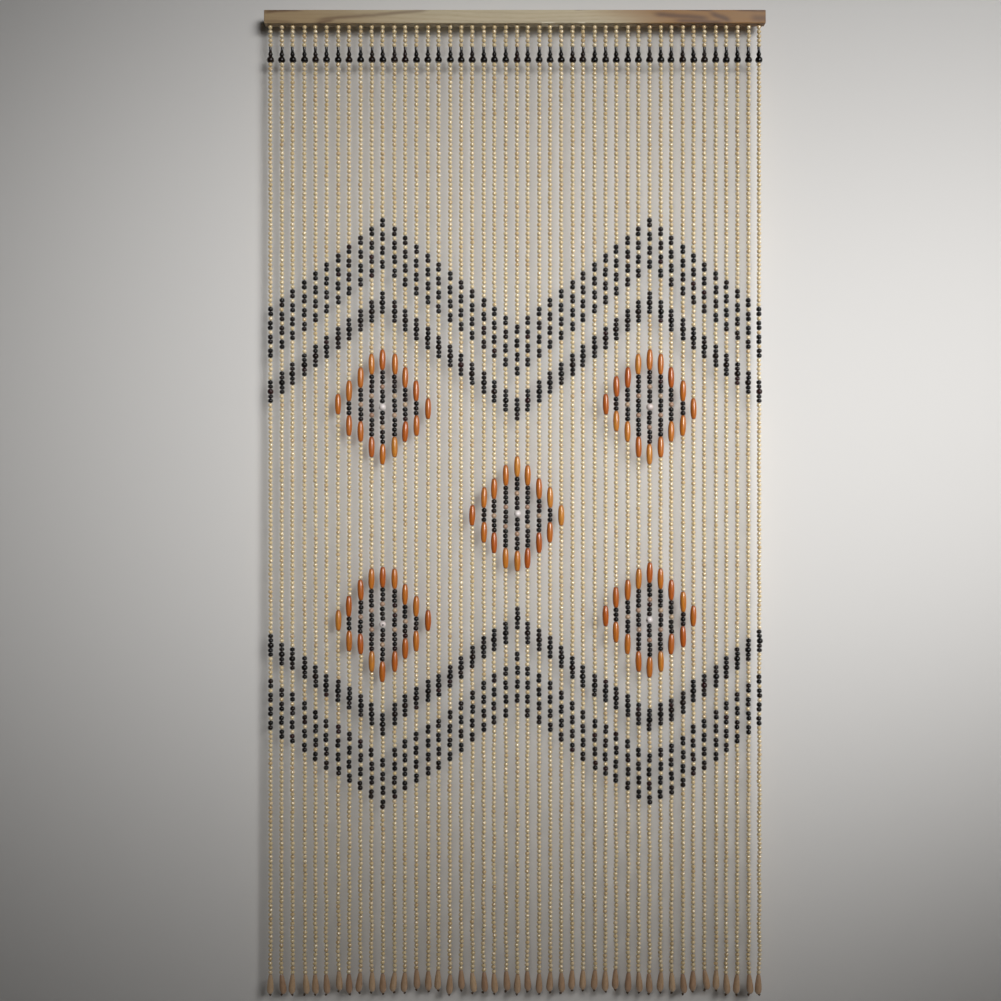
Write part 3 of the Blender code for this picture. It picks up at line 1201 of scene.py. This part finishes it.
@dataclass
class BeadSet:
    """Beads of one finish that are made as one piece.

    The jitters are what loose threading and hand turning leave: how far a bead sits beside its
    cord, how far it tilts, in degrees, and how much narrower or shorter than its kind it may be.
    Leans, by strand, and spins, in the beads' order, are set instead of drawn where they are given.
    """

    name: str
    slot: Slot
    shapes: dict[BeadKind, Template]
    hangs: bool = False
    beside: float = 0.00022
    tilt: float = 3.5
    narrower: float = 0.030
    shorter: float = 0.012
    cell_aspect: float = 2.4
    sharp: float | None = None
    seed: int = 1
    leans: dict[int, float] = field(default_factory=dict)
    spins: tuple[float, ...] = ()

    def _turns(self, places: Sequence[BeadPlace], draw: np.random.Generator) -> np.ndarray:
        """Work out how the beads are turned.

        Args:
            places: The beads' places.
            draw: The source of jitter.

        Returns:
            A rotation matrix for each bead.
        """
        along = np.array([(p.top[0] - p.bottom[0]) / (p.top[1] - p.bottom[1]) for p in places])
        spread = math.radians(self.tilt)
        lean = np.arctan(along) + draw.normal(0.0, spread, len(places))
        nod = draw.normal(0.0, spread, len(places))
        spin = draw.uniform(0.0, math.tau, len(places))
        for number, place in enumerate(places):
            if place.strand in self.leans:
                lean[number] = -math.radians(self.leans[place.strand])
        if self.spins:
            spin = np.radians(self.spins)
        return turned_about(lean, nod, spin)

    def build(
        self, places: Sequence[BeadPlace], y: float, material: bpy.types.Material
    ) -> bpy.types.Object:
        """Make the piece.

        Args:
            places: The places of its beads.
            y: The strands' place between front and back.
            material: The beads' finish.

        Returns:
            The piece.
        """
        chosen = [place for place in places if place.kind in self.shapes]
        stock = MeshStock(Cell.for_copies(len(chosen), self.cell_aspect))
        draw = np.random.default_rng(self.seed)
        for kind, template in self.shapes.items():
            alike = [place for place in chosen if place.kind is kind]
            if not alike:
                continue
            count = len(alike)
            girth = 1.0 - draw.uniform(0.0, self.narrower, count)
            height = 1.0 - draw.uniform(0.0, self.shorter, count)
            size = np.stack([girth, girth, height], 1)
            spots = np.array([p.top if self.hangs else p.middle() for p in alike])
            beside = draw.normal(0.0, self.beside, (count, 2))
            at = np.stack([spots[:, 0] + beside[:, 0], y + beside[:, 1], spots[:, 1]], 1)
            shaped = template.points[None] * size[:, None, :]
            turned = np.einsum("cij,cpj->cpi", self._turns(alike, draw), shaped)
            notes = np.broadcast_to(template.points[None] * MILLIMETRES, shaped.shape)
            stock.add(turned + at[:, None, :], template, notes, draw.uniform(0.0, 1.0, (count, 3)))
        return stock.to_object(self.name, material, self.sharp)


@dataclass
class Beads:
    """All the beads of the curtain, in pieces of one finish each."""

    pattern: StrandPattern
    bead_gap: float = 0.00005
    cord_width: float = 0.0018
    natural_width: float = 0.0084
    dark_width: float = 0.0100
    dark_fullness: float = 0.72
    collar_width: float = 0.0100
    big_width: float = 0.0116
    big_end: float = 0.0040
    tan_width: float = 0.0096
    white_width: float = 0.0131
    eye_width: float = 0.0026
    eye_below: float = 0.0008
    eye_depth: float = 0.0010
    natural_per_piece: int = 5
    dark_per_piece: int = 15
    barrel_turns: tuple[Turn, ...] = (
        (0.0, 0.0062),
        (0.05, 0.0079),
        (0.21, 0.0105),
        (0.5, 0.0118),
        (0.79, 0.0105),
        (0.95, 0.0079),
        (1.0, 0.0062),
    )
    vase_turns: tuple[Turn, ...] = (
        (0.0, 0.0055),
        (0.18, 0.0050),
        (0.32, 0.0056),
        (0.46, 0.0089),
        (0.60, 0.0062),
        (0.71, 0.0111),
        (0.82, 0.0132),
        (0.93, 0.0124),
        (1.0, 0.0100),
    )
    drop_turns: tuple[Turn, ...] = (
        (0.0, 0.0062),
        (0.08, 0.0076),
        (0.28, 0.0100),
        (0.52, 0.0120),
        (0.72, 0.0128),
        (0.89, 0.0116),
        (1.0, 0.0068),
    )
    drop_leans: dict[int, float] = field(
        default_factory=lambda: {
            0: -1.0, 1: 7.0, 2: -2.0, 3: 5.0, 4: 3.0, 5: 4.0, 6: 2.0, 7: 1.0, 11: -7.0, 12: -3.0,
            16: -2.5, 18: 6.0, 19: 3.0, 20: 4.0, 21: 4.0, 22: -1.0, 23: 3.0, 25: -3.0, 26: 2.0,
            27: -2.0, 33: 3.0, 34: 2.0, 35: -3.0, 36: 3.0, 37: 5.0, 39: 9.0, 41: 4.0, 43: 4.0,
            44: -2.0,
        }
    )
    eye_spins: tuple[float, ...] = (150.0, 10.0, -80.0, 200.0, -52.0)

    def _ball(
        self, kind: BeadKind, width: float, end: float, bands: int, segments: int, fullness: float = 1.0
    ) -> Template:
        """Return a ball-shaped bead of its kind's length."""
        length = self.pattern.lengths[kind] - self.bead_gap
        return Template.turned(Outline.ball(length, width, end, bands, fullness), segments)

    def _lathe(self, kind: BeadKind, turns: Sequence[Turn], segments: int) -> Template:
        """Return a bead turned to an outline, of its kind's length."""
        length = self.pattern.lengths[kind] - self.bead_gap
        return Template.turned(Outline.smooth(length, turns, self._hole()), segments)

    def _hole(self) -> float:
        """Return the width that the cord fills."""
        return self.cord_width * 0.94

    def _eyed(self) -> Template:
        """Return the white bead, with the eye pressed into its own -Y side."""
        plain = self._ball(BeadKind.WHITE, self.white_width, self._hole(), bands=14, segments=28)
        points = plain.points.copy()
        from_axis = np.hypot(points[:, 0], points[:, 2] + self.eye_below)
        pressed = np.clip(1.0 - from_axis / self.eye_width, 0.0, 1.0) * (points[:, 1] < 0)
        points[:, 1] += pressed * self.eye_depth
        return Template(points, plain.faces, plain.layout)

    def sets(self) -> list[BeadSet]:
        """List the pieces to make.

        Returns:
            A bead set for each piece, except those that are cut up by strand.
        """
        hole = self._hole()
        full = self.dark_fullness
        dark = {
            BeadKind.DARK: self._ball(BeadKind.DARK, self.dark_width, hole, 4, 12, full),
            BeadKind.COLLAR: self._ball(BeadKind.COLLAR, self.collar_width, hole, 4, 12, full),
        }
        natural = {BeadKind.NATURAL: self._ball(BeadKind.NATURAL, self.natural_width, hole, 4, 12)}
        big = self._ball(BeadKind.BIG, self.big_width, self.big_end, bands=6, segments=14)
        tan = self._ball(BeadKind.TAN, self.tan_width, hole, bands=6, segments=14)
        drop_length = self.pattern.lengths[BeadKind.DROP] - self.bead_gap
        drop_outline = Outline.smooth(drop_length, self.drop_turns, hole).hung()
        vase = self._lathe(BeadKind.VASE, self.vase_turns, segments=14)
        barrel = self._lathe(BeadKind.BARREL, self.barrel_turns, segments=12)
        drop = Template.turned(drop_outline, segments=16)
        return [
            BeadSet("natural_beads", Slot.NATURAL_BEAD, natural, seed=11),
            BeadSet("dark_beads", Slot.DARK_BEAD, dark, seed=23),
            BeadSet("big_dark_beads", Slot.DARK_BEAD, {BeadKind.BIG: big}, sharp=60.0, seed=31),
            BeadSet("vase_beads", Slot.DARK_BEAD, {BeadKind.VASE: vase}, tilt=1.5, sharp=50.0, seed=38),
            BeadSet(
                "barrel_beads", Slot.AMBER_BEAD, {BeadKind.BARREL: barrel}, tilt=0.8, sharp=50.0,
                cell_aspect=0.9, seed=41,
            ),
            BeadSet("tan_beads", Slot.TAN_BEAD, {BeadKind.TAN: tan}, seed=43),
            BeadSet(
                "white_beads", Slot.WHITE_BEAD, {BeadKind.WHITE: self._eyed()}, tilt=2.0,
                seed=47, spins=self.eye_spins,
            ),
            BeadSet(
                "drops", Slot.NATURAL_BEAD, {BeadKind.DROP: drop}, hangs=True, tilt=1.5, sharp=50.0,
                cell_aspect=1.0, seed=53, leans=self.drop_leans,
            ),
        ]

    def build(
        self, places: Sequence[BeadPlace], finishes: dict[str, bpy.types.Material]
    ) -> list[bpy.types.Object]:
        """Make every bead.

        Args:
            places: The beads' places.
            finishes: The material of each bead set, by the set's name.

        Returns:
            The pieces, the plain and the small dark beads cut up by strand.
        """
        steps = {"natural_beads": self.natural_per_piece, "dark_beads": self.dark_per_piece}
        pieces = []
        for bead_set in self.sets():
            material = finishes[bead_set.name]
            step = steps.get(bead_set.name)
            if step is None:
                pieces.append(self._finished(bead_set, places, material))
                continue
            name = bead_set.name
            for number, first in enumerate(range(0, self.pattern.count, step)):
                bead_set.name = f"{name}_{number + 1}"
                bead_set.seed += 1
                strands = range(first, first + step)
                nearby = [place for place in places if place.strand in strands]
                pieces.append(self._finished(bead_set, nearby, material))
        return pieces

    def _finished(
        self, bead_set: BeadSet, places: Sequence[BeadPlace], material: bpy.types.Material
    ) -> bpy.types.Object:
        """Make one bead set's piece."""
        piece = bead_set.build(places, self.pattern.y, material)
        return piece


@dataclass
class Cords:
    """The forty-five cords, each knotted below its drop."""

    pattern: StrandPattern
    width: float = 0.0018
    sides: int = 5
    spans: int = 64
    into_strip: float = 0.0012
    knot_cord: float = 0.0015
    knot_size: float = 0.0014
    knot_spans: int = 24
    knot_below: float = 0.0018
    seed: int = 61

    def _tube(self, path: np.ndarray, width: float, closed: bool) -> Template:
        """Sweep a ring along a path.

        Args:
            path: The path's points.
            width: The tube's width.
            closed: Whether the path's end meets its start.

        Returns:
            The tube.
        """
        if closed:
            path = np.vstack([path, path[:1]])
            ahead = np.vstack([path[1:], path[1:2]])
            behind = np.vstack([path[-2:-1], path[:-1]])
        else:
            ahead = np.vstack([path[1:], path[-1:]])
            behind = np.vstack([path[:1], path[:-1]])
        way = ahead - behind
        way /= np.linalg.norm(way, axis=1, keepdims=True)
        side = np.cross(way, np.array([0.0, 1.0, 0.12]))
        side /= np.linalg.norm(side, axis=1, keepdims=True)
        front = np.cross(way, side)
        angles = np.linspace(0.0, math.tau, self.sides, endpoint=False)
        across = np.cos(angles)[None, :, None] * side[:, None]
        ring = across + np.sin(angles)[None, :, None] * front[:, None]
        points = (path[:, None] + ring * (width / 2)).reshape(-1, 3)
        down = np.linspace(0.0, 1.0, len(path))
        return Template(points, *grid_faces(len(path), self.sides, down))

    def _notes(self, path_length: float, rings: int) -> np.ndarray:
        """Return what a tube's points note: the millimetres along it and the angle round it."""
        along = np.repeat(np.linspace(0.0, path_length * MILLIMETRES, rings), self.sides)
        round_it = np.tile(np.linspace(0.0, math.tau, self.sides, endpoint=False), rings)
        return np.stack([along, round_it, np.zeros_like(along)], 1)

    def build_cords(
        self, places: Sequence[BeadPlace], material: bpy.types.Material
    ) -> bpy.types.Object:
        """Run a cord down each strand.

        Args:
            places: The beads' places.
            material: The cord's finish.

        Returns:
            The piece.
        """
        stock = MeshStock(Cell(columns=self.pattern.count, rows=1))
        ends = {place.strand: place.bottom[1] for place in places}
        for strand, bottom in ends.items():
            full = self.pattern.top - bottom
            depths = np.linspace(-self.into_strip, full, self.spans + 1)
            path = np.array([
                (self.pattern.x(strand, max(depth, 0.0)), self.pattern.y, self.pattern.top - depth)
                for depth in depths
            ])
            tube = self._tube(path, self.width, closed=False)
            notes = self._notes(full, len(path))
            stock.add(tube.points[None], tube, notes[None], np.zeros((1, 3)))
        piece = stock.to_object("cords", material)
        return piece

    def build_knots(
        self, places: Sequence[BeadPlace], material: bpy.types.Material
    ) -> bpy.types.Object:
        """Tie an overhand knot below each drop.

        Args:
            places: The beads' places.
            material: The cord's finish.

        Returns:
            The piece.
        """
        drops = [place for place in places if place.kind is BeadKind.DROP]
        stock = MeshStock(Cell.for_copies(len(drops), 1.0))
        draw = np.random.default_rng(self.seed)
        turn = np.linspace(0.0, math.tau, self.knot_spans, endpoint=False)
        loops = np.stack(
            [
                np.sin(turn) + 2 * np.sin(2 * turn),
                -np.sin(3 * turn),
                np.cos(turn) - 2 * np.cos(2 * turn),
            ],
            1,
        )
        tube = self._tube(loops * self.knot_size * 0.5, self.knot_cord, closed=True)
        notes = self._notes(0.02, self.knot_spans + 1)
        for place in drops:
            turned = turned_about(*draw.uniform(-0.5, 0.5, (3, 1)))[0]
            x = place.bottom[0] + draw.uniform(-0.0012, 0.0002)
            at = np.array([x, self.pattern.y, place.bottom[1] - self.knot_below])
            stock.add((tube.points @ turned.T + at)[None], tube, notes[None], np.zeros((1, 3)))
        piece = stock.to_object("knots", material)
        return piece


@dataclass
class Rail:
    """The rail: its solid keeps its shape, and a strip closes the groove that holds the cords."""

    groove_width: float = 0.0036
    groove_depth: float = 0.0032
    end_margin: float = 0.0050
    gap: float = 0.0003
    recess: float = 0.0004
    crown: float = 0.0002

    def dress(self, material: bpy.types.Material) -> bpy.types.Object:
        """Give the rail's solid its wood.

        Args:
            material: The finish.

        Returns:
            The rail.
        """
        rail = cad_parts["rail"]
        rail.data.materials.clear()
        rail.data.materials.append(material)
        for face in rail.data.polygons:
            face.material_index = 0
        return rail

    def build_strip(self, material: bpy.types.Material) -> bpy.types.Object:
        """Make the strip, with a slightly rounded underside.

        Args:
            material: The finish.

        Returns:
            The piece.
        """
        low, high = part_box("rail")
        half_length = (high.x - low.x) / 2 - self.end_margin
        half_width = self.groove_width / 2 - self.gap
        middle = (low.y + high.y) / 2
        bottom = low.z + self.recess
        top = low.z + self.groove_depth - self.gap
        edge = bottom + self.crown
        section = [(-half_width, top), (half_width, top), (half_width, edge)]
        section += [(half_width / 2, bottom), (-half_width / 2, bottom), (-half_width, edge)]
        count = len(section)
        points = [(x, middle + y, z) for x in (-half_length, half_length) for y, z in section]
        faces = [list(range(count)), [*reversed(range(count, 2 * count))]]
        for corner in range(count):
            after = (corner + 1) % count
            faces.append([corner, corner + count, after + count, after])
        mesh = bpy.data.meshes.new("groove_strip")
        mesh.from_pydata(points, [], faces)
        mesh.materials.append(material)
        strip = bpy.data.objects.new("groove_strip", mesh)
        bpy.context.scene.collection.objects.link(strip)
        return strip


# Studio


@dataclass(frozen=True)
class SoftLight:
    """A soft studio light: a lit panel aimed at a point, with a grid that narrows its spread."""

    name: str
    place: Point
    aim: Point
    width: float
    height: float
    watts: float
    colour: Colour = (1.0, 1.0, 1.0)
    spread: float = 180.0

    def build(self) -> None:
        """Hang the light."""
        panel = bpy.data.lights.new(self.name, "AREA")
        panel.shape = "RECTANGLE"
        panel.size = self.width
        panel.size_y = self.height
        panel.energy = self.watts
        panel.color = self.colour
        panel.spread = math.radians(self.spread)
        light = bpy.data.objects.new(self.name, panel)
        light.location = self.place
        way = Vector(self.aim) - Vector(self.place)
        light.rotation_euler = way.to_track_quat("-Z", "Y").to_euler()
        light.visible_camera = False
        bpy.context.scene.collection.objects.link(light)


@dataclass(frozen=True)
class StudioPaper:
    """Pale matt paper that is seen from its front only, so that it never hides the curtain."""

    name: str
    colour: Colour
    roughness: float = 0.9

    def build(self) -> bpy.types.Material:
        """Build the material.

        Returns:
            The finish, clear from behind.
        """
        bench = FinishBench(self.name)
        bench.finish(self.colour, self.roughness)
        clear = bench.node("ShaderNodeBsdfTransparent")
        side = bench.node("ShaderNodeNewGeometry").outputs["Backfacing"]
        sockets = {0: side, 1: bench.shader.outputs[0], 2: clear.outputs[0]}
        either = bench.node("ShaderNodeMixShader", sockets=sockets)
        bench.feed(bench.tree.nodes["Material Output"].inputs["Surface"], either.outputs[0])
        return bench.material


@dataclass
class Studio:
    """The backdrop, floor, lights and camera.

    The backdrop's gap behind the rail sets how soft the strands' shadows on it are.
    """

    backdrop_gap: float = 0.0240
    floor_z: float = -2.000
    reach: float = 4.0
    backdrop_top: float = 1.6
    paper: Colour = (0.69, 0.675, 0.655)
    ground: Colour = (0.64, 0.63, 0.61)
    world: Colour = (1.0, 1.0, 1.0)
    world_strength: float = 0.015
    camera_place: Point = (-0.0257, -2.600, -0.868)
    lens: float = 51.75
    sensor: float = 36.0
    lights: tuple[SoftLight, ...] = (
        SoftLight("key", (1.5, -2.6, 0.16), (0.295, 0.0, -0.545), 2.4, 1.4, 12.5, spread=38.5),
        SoftLight("low", (1.9, -2.4, 0.16), (0.620, 0.0, -1.20), 1.4, 0.9, 1.6, spread=28.0),
    )

    def _sheet(self, name: str, corners: Iterable[Point], colour: Colour) -> None:
        """Lay a flat sheet between corners, its front where they run anticlockwise."""
        mesh = bpy.data.meshes.new(name)
        mesh.from_pydata(list(corners), [], [(0, 1, 2, 3)])
        mesh.materials.append(StudioPaper(name, colour).build())
        sheet = bpy.data.objects.new(name, mesh)
        bpy.context.scene.collection.objects.link(sheet)

    def build(self) -> None:
        """Set up the studio."""
        far = self.reach
        y = self.backdrop_gap
        z = self.floor_z
        top = self.backdrop_top
        wall = [(-far, y, z), (far, y, z), (far, y, top), (-far, y, top)]
        ground = [(-far, -far, z), (far, -far, z), (far, far, z), (-far, far, z)]
        self._sheet("backdrop", wall, self.paper)
        self._sheet("floor", ground, self.ground)
        for light in self.lights:
            light.build()
        scene = bpy.context.scene
        scene.view_settings.view_transform = "Standard"
        if scene.world is None:
            scene.world = bpy.data.worlds.new("studio")
        scene.world.use_nodes = True
        background = scene.world.node_tree.nodes["Background"]
        background.inputs["Color"].default_value = (*self.world, 1.0)
        background.inputs["Strength"].default_value = self.world_strength
        self._camera()

    def _camera(self) -> None:
        """Set up the camera, level and square to the rail."""
        lens = bpy.data.cameras.new("camera")
        lens.lens = self.lens
        lens.sensor_width = self.sensor
        camera = bpy.data.objects.new("camera", lens)
        camera.location = self.camera_place
        camera.rotation_euler = (math.radians(90.0), 0.0, 0.0)
        bpy.context.scene.collection.objects.link(camera)
        bpy.context.scene.camera = camera


def report(piece: bpy.types.Object) -> int:
    """Log a piece.

    Args:
        piece: The piece.

    Returns:
        How many triangles it has.
    """
    triangles = sum(len(face.vertices) - 2 for face in piece.data.polygons)
    LOG.info("%s: %d triangles", piece.name, triangles)
    return triangles


def main() -> None:
    """Build the curtain and its studio, and report each piece."""
    logging.basicConfig(level=logging.INFO, format="%(message)s")
    pattern = StrandPattern()
    places = thread_all(pattern)
    LOG.info("%d beads on %d strands", len(places), pattern.count)
    Studio().build()

    rail_wood = PineRail().build()
    rail = Rail()
    report(rail.dress(rail_wood))
    strip = rail.build_strip(rail_wood)

    natural = NATURAL_WOOD.build()
    dark = DarkLacquer().build()
    finishes = {
        "natural_beads": natural,
        "dark_beads": dark,
        "big_dark_beads": dark,
        "vase_beads": dark,
        "barrel_beads": AmberStain().build(),
        "tan_beads": TAN_WOOD.build(),
        "white_beads": EyedWood().build(),
        "drops": DROP_WOOD.build(),
    }
    cord = BrownCord().build()
    cords = Cords(pattern)
    pieces = [strip, *Beads(pattern).build(places, finishes)]
    pieces += [cords.build_cords(places, cord), cords.build_knots(places, cord)]
    total = 0
    for piece in pieces:
        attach(piece, "root")
        total += report(piece)
    for piece in pieces[1:]:
        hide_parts("strands")
    LOG.info("%d triangles in all", total)


if __name__ == "__main__":
    main()
